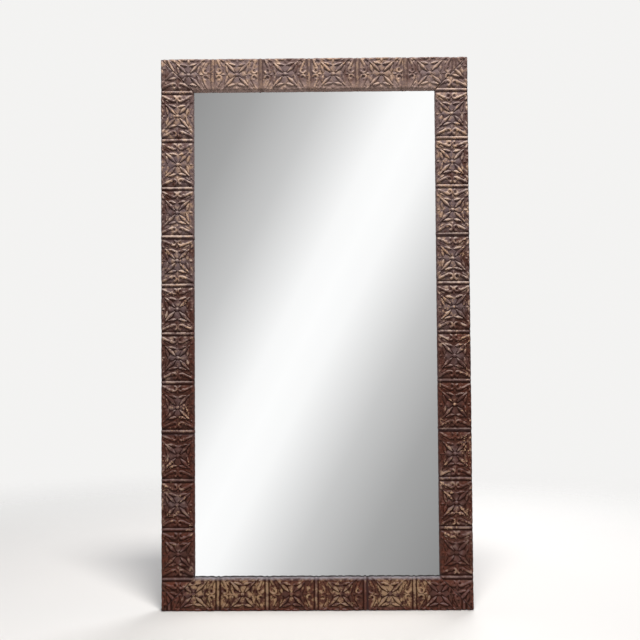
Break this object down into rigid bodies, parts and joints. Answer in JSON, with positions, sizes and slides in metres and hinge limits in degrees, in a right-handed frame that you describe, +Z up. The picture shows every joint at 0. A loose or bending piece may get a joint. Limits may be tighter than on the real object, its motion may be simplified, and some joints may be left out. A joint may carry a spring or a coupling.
{
  "type": "floor mirror",
  "caption": "Tall leaning floor mirror in a timber frame clad with mitred strips of pressed tin ceiling tile, with a board back and swinging hanger rings.",
  "frame": {"origin": "middle of the face that the mirror stands on", "axes": "+Z up, +X to the right as seen from the front, +Y to the back"},
  "size_m": [0.968, 0.0468, 1.73],
  "materials": {
    "timber": "sawn softwood",
    "tin": "worn brown paint over pressed tin",
    "mirror": "silvered plate",
    "board": "hardboard",
    "block": "matte",
    "steel": "zinc plated",
    "bumper": "matte"
  },
  "bodies": {
    "frame": {"core_stile_left": "timber", "core_stile_right": "timber", "core_rail_top": "timber", "core_rail_bottom": "timber", "tin_stile_left_upper": "tin", "tin_stile_left_middle": "tin", "tin_stile_left_lower": "tin", "tin_stile_right_upper": "tin", "tin_stile_right_middle": "tin", "tin_stile_right_lower": "tin", "tin_rail_top_left": "tin", "tin_rail_top_middle": "tin", "tin_rail_top_right": "tin", "tin_rail_bottom_left": "tin", "tin_rail_bottom_right": "tin", "mirror_plate": "mirror", "backing_board": "board", "setting_blocks": "block", "hanger_strap_left": "steel", "hanger_strap_right": "steel", "strap_screws": "steel", "board_screws": "steel", "lap_screws": "steel", "wall_bumpers": "bumper"},
    "ring_left": {"hanger_ring_left": "steel"},
    "ring_right": {"hanger_ring_right": "steel"}
  },
  "joints": [
    {"name": "ring_left_swing", "type": "hinge", "parent": "frame", "child": "ring_left", "pos_m": [-0.4465, 0.02118, 1.3], "axis": [1, 0, 0], "range_deg": [0, 180]},
    {"name": "ring_right_swing", "type": "hinge", "parent": "frame", "child": "ring_right", "pos_m": [0.4465, 0.02118, 1.3], "axis": [1, 0, 0], "range_deg": [0, 180]}
  ]
}
